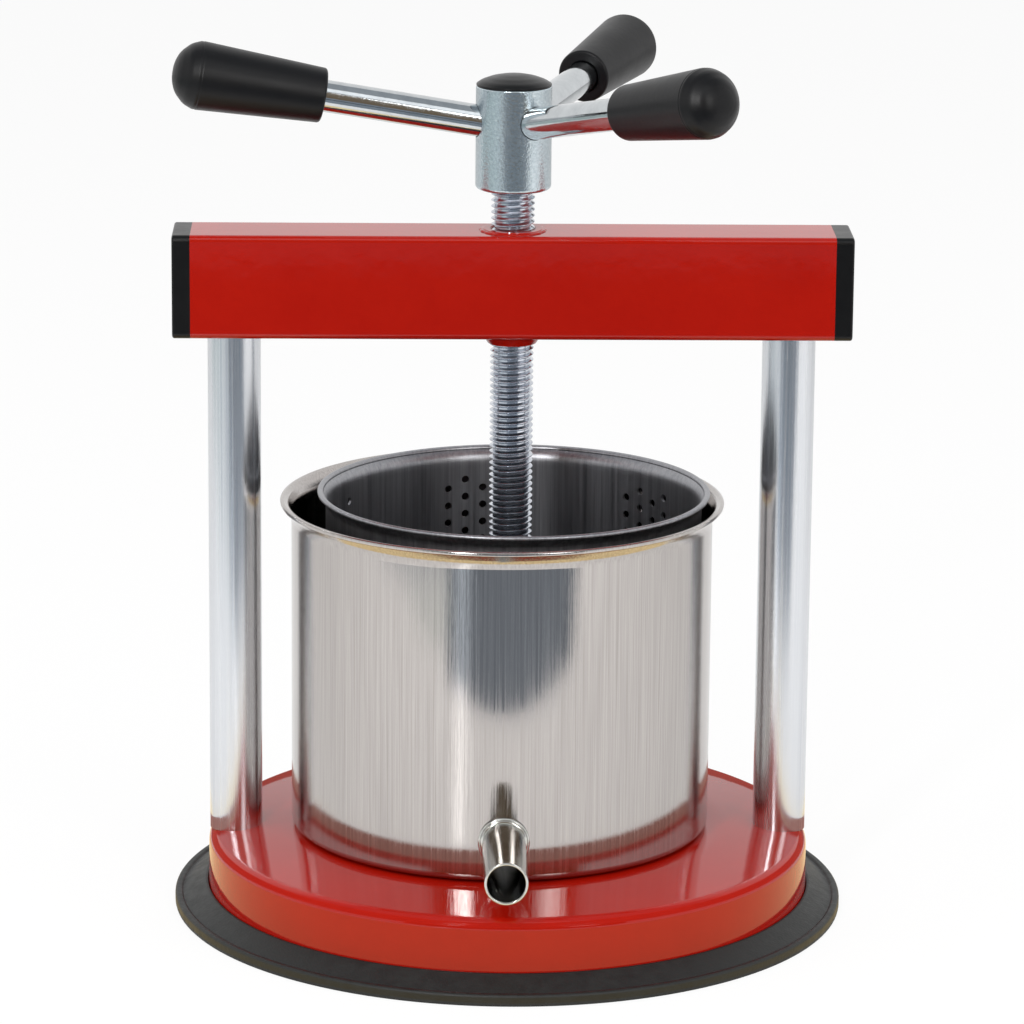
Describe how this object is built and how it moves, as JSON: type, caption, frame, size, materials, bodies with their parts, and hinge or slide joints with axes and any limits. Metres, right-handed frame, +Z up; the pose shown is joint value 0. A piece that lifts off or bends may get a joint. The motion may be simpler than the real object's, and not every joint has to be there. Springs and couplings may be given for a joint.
{
  "type": "fruit press",
  "caption": "Hand-turned fruit press: a screw in a crossbeam on pillars drives a plate into a perforated basket inside a spouted pot.",
  "frame": {"origin": "on the screw axis, at the underside of the rubber foot ring, on the surface the press stands on", "axes": "+Z up along the screw, +X along the crossbeam to the right seen from the spout side, -Y towards the spout"},
  "size_m": [0.2564, 0.2578, 0.3389],
  "materials": {
    "red_paint": "gloss",
    "rubber": "matt",
    "pillar_aluminium": "satin",
    "black_cap_plastic": "satin",
    "black_grip_plastic": "satin gloss",
    "zinc_hub": "zinc-plated, mottled",
    "zinc_thread": "zinc-plated thread",
    "rod_chrome": "bright plated",
    "fastener_zinc": "zinc-plated",
    "plate_steel": "turned stainless",
    "pot_steel": "brushed stainless",
    "basket_steel": "brushed stainless, dull",
    "spout_steel": "polished stainless"
  },
  "bodies": {
    "frame": {"rubber_foot_ring": "rubber", "base_pan": "red_paint", "beam_tube": "red_paint", "screw_nut": "red_paint", "pillar_left": "pillar_aluminium", "base_bolt_left": "fastener_zinc", "base_washer_left": "fastener_zinc", "beam_bolt_left": "fastener_zinc", "beam_washer_left": "fastener_zinc", "end_cap_left": "black_cap_plastic", "pillar_right": "pillar_aluminium", "base_bolt_right": "fastener_zinc", "base_washer_right": "fastener_zinc", "beam_bolt_right": "fastener_zinc", "beam_washer_right": "fastener_zinc", "end_cap_right": "black_cap_plastic"},
    "press_foot": {"press_plate": "plate_steel", "thrust_cup": "plate_steel", "keeper_plate": "plate_steel", "cup_bolt_1": "fastener_zinc", "cup_bolt_2": "fastener_zinc", "cup_bolt_3": "fastener_zinc", "keeper_screw_1": "fastener_zinc", "keeper_screw_2": "fastener_zinc"},
    "spindle": {"screw": "zinc_thread", "hub": "zinc_hub", "hub_cap": "black_cap_plastic", "handle_rod_left": "rod_chrome", "handle_rod_front": "rod_chrome", "handle_rod_rear": "rod_chrome", "handle_grip_left": "black_grip_plastic", "handle_grip_front": "black_grip_plastic", "handle_grip_rear": "black_grip_plastic"},
    "pot": {"pot_shell": "pot_steel", "spout_collar": "spout_steel", "spout_tube": "spout_steel"},
    "basket": {"basket_wall": "basket_steel", "basket_floor": "basket_steel"}
  },
  "joints": [
    {"name": "press_travel", "type": "slide", "parent": "frame", "child": "press_foot", "axis": [0, 0, 1], "range_m": [-0.014, 0.135]},
    {"name": "screw_turn", "type": "hinge", "parent": "press_foot", "child": "spindle", "pos_m": [0, 0, 0], "axis": [0, 0, 1], "range_deg": [-2190, 21120]},
    {"name": "pot_turn", "type": "hinge", "parent": "frame", "child": "pot", "pos_m": [-0.0032, 0, 0.0314], "axis": [0, 0, 1], "range_deg": [-75, 75]},
    {"name": "basket_turn", "type": "hinge", "parent": "frame", "child": "basket", "pos_m": [0.0012, 0, 0.0327], "axis": [0, 0, 1], "continuous": true}
  ],
  "couplings": [
    {"joint": "press_travel", "follows": "screw_turn", "m_per_rad": 0.00036606}
  ]
}
